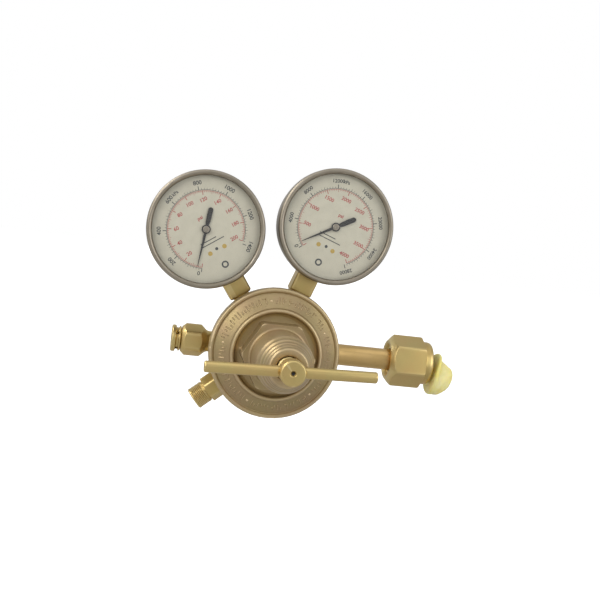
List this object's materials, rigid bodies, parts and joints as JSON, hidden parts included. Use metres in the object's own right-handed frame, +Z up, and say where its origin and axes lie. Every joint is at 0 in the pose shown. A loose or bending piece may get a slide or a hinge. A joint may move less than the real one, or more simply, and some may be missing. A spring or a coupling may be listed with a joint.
{
  "type": "gas regulator",
  "caption": "Brass gas cylinder regulator with T-handle adjusting screw, two round dial gauges, relief valve, hose outlet and inlet nipple with nut and dust plug.",
  "frame": {"origin": "centre of the inlet nipple's nose, where it seals on the cylinder valve", "axes": "+X along the inlet nipple, pointing out toward the cylinder valve; -Y to the front (T-handle and dials); +Z up"},
  "size_m": [0.1987, 0.1345, 0.1514],
  "materials": {
    "forged_brass": "satin, slightly tarnished",
    "turned_brass": "turned, satin",
    "gauge_steel": "satin",
    "steel": "satin",
    "tube_bronze": "satin",
    "sintered_bronze": "rough",
    "clear_lens": "gloss",
    "dial_white": "matte",
    "black_paint": "satin",
    "rubber": "matte",
    "nylon": "matte",
    "yellow_vinyl": "satin"
  },
  "bodies": {
    "root": {"body": "forged_brass", "bonnet": "forged_brass", "body_plug": "turned_brass", "plug_gasket": "rubber", "slip_ring": "turned_brass", "diaphragm": "rubber", "adjusting_spring": "steel", "valve_nozzle": "turned_brass", "closing_spring": "steel", "inlet_nipple": "turned_brass", "inlet_filter": "sintered_bronze", "outlet_fitting": "turned_brass", "relief_valve_body": "turned_brass", "relief_valve_cap": "turned_brass", "relief_spring": "steel", "low_gauge_case": "gauge_steel", "low_gauge_bezel": "gauge_steel", "low_gauge_lens": "clear_lens", "low_dial": "dial_white", "low_movement_plate_rear": "turned_brass", "low_movement_plate_front": "turned_brass", "low_bourdon_tube": "tube_bronze", "low_gauge_socket": "turned_brass", "high_gauge_case": "gauge_steel", "high_gauge_bezel": "gauge_steel", "high_gauge_lens": "clear_lens", "high_dial": "dial_white", "high_movement_plate_rear": "turned_brass", "high_movement_plate_front": "turned_brass", "high_bourdon_tube": "tube_bronze", "high_gauge_socket": "turned_brass"},
    "screw_carriage": {"spring_button": "steel", "thrust_ball": "steel"},
    "handle": {"adjusting_screw": "turned_brass", "handle_bar": "turned_brass"},
    "diaphragm_stack": {"diaphragm_plate": "turned_brass", "diaphragm_stud": "turned_brass"},
    "valve": {"valve_stem": "steel", "valve_seat": "nylon"},
    "relief": {"relief_poppet": "turned_brass", "relief_seat": "rubber"},
    "nut": {"inlet_nut": "turned_brass"},
    "plug": {"dust_plug": "yellow_vinyl"},
    "low_sector": {"low_sector_gear": "turned_brass", "low_link": "steel"},
    "low_needle": {"low_pointer": "black_paint", "low_pinion": "turned_brass", "low_hairspring": "turned_brass"},
    "high_sector": {"high_sector_gear": "turned_brass", "high_link": "steel"},
    "high_needle": {"high_pointer": "black_paint", "high_pinion": "turned_brass", "high_hairspring": "turned_brass"}
  },
  "joints": [
    {"name": "button_advance", "type": "slide", "parent": "root", "child": "screw_carriage", "axis": [0, 1, 0], "range_m": [0, 0.00572], "deforming": ["adjusting_spring"]},
    {"name": "handle_turn", "type": "hinge", "parent": "screw_carriage", "child": "handle", "pos_m": [-0.095, -0.0976, 0], "axis": [0, 1, 0], "range_deg": [0, 1620]},
    {"name": "diaphragm_travel", "type": "slide", "parent": "root", "child": "diaphragm_stack", "axis": [0, 1, 0], "range_m": [0, 0.0008], "stiffness_N_per_m": 3000, "deforming": ["diaphragm", "adjusting_spring"]},
    {"name": "valve_lift", "type": "slide", "parent": "root", "child": "valve", "axis": [0, 1, 0], "range_m": [0, 0.0008], "deforming": ["closing_spring"]},
    {"name": "relief_lift", "type": "slide", "parent": "root", "child": "relief", "axis": [-1, 0, 0], "range_m": [0, 0.0012], "stiffness_N_per_m": 1500, "deforming": ["relief_spring"]},
    {"name": "inlet_nut_spin", "type": "hinge", "parent": "root", "child": "nut", "pos_m": [-0.007, 0, 0], "axis": [1, 0, 0], "continuous": true},
    {"name": "dust_plug_pull", "type": "slide", "parent": "root", "child": "plug", "axis": [1, 0, 0], "range_m": [0, 0.03]},
    {"name": "low_sector_swing", "type": "hinge", "parent": "root", "child": "low_sector", "pos_m": [-0.13282, -0.014, 0.05342], "axis": [0, 1, 0], "range_deg": [-28.12, 0], "stiffness_Nm_per_rad": 0.01, "deforming": ["low_bourdon_tube", "low_hairspring"]},
    {"name": "low_pointer_turn", "type": "hinge", "parent": "root", "child": "low_needle", "pos_m": [-0.14224, -0.024, 0.06672], "axis": [0, 1, 0], "range_deg": [0, 270]},
    {"name": "high_sector_swing", "type": "hinge", "parent": "root", "child": "high_sector", "pos_m": [-0.07304, -0.014, 0.06166], "axis": [0, 1, 0], "range_deg": [-28.12, 0], "stiffness_Nm_per_rad": 0.01, "deforming": ["high_bourdon_tube", "high_hairspring"]},
    {"name": "high_pointer_turn", "type": "hinge", "parent": "root", "child": "high_needle", "pos_m": [-0.06758, -0.024, 0.07701], "axis": [0, 1, 0], "range_deg": [0, 270]}
  ],
  "couplings": [
    {"joint": "button_advance", "follows": "handle_turn", "m_per_rad": 0.00020213},
    {"joint": "valve_lift", "follows": "diaphragm_travel", "ratio": 1},
    {"joint": "low_pointer_turn", "follows": "low_sector_swing", "ratio": -9.6},
    {"joint": "high_pointer_turn", "follows": "high_sector_swing", "ratio": -9.6}
  ]
}
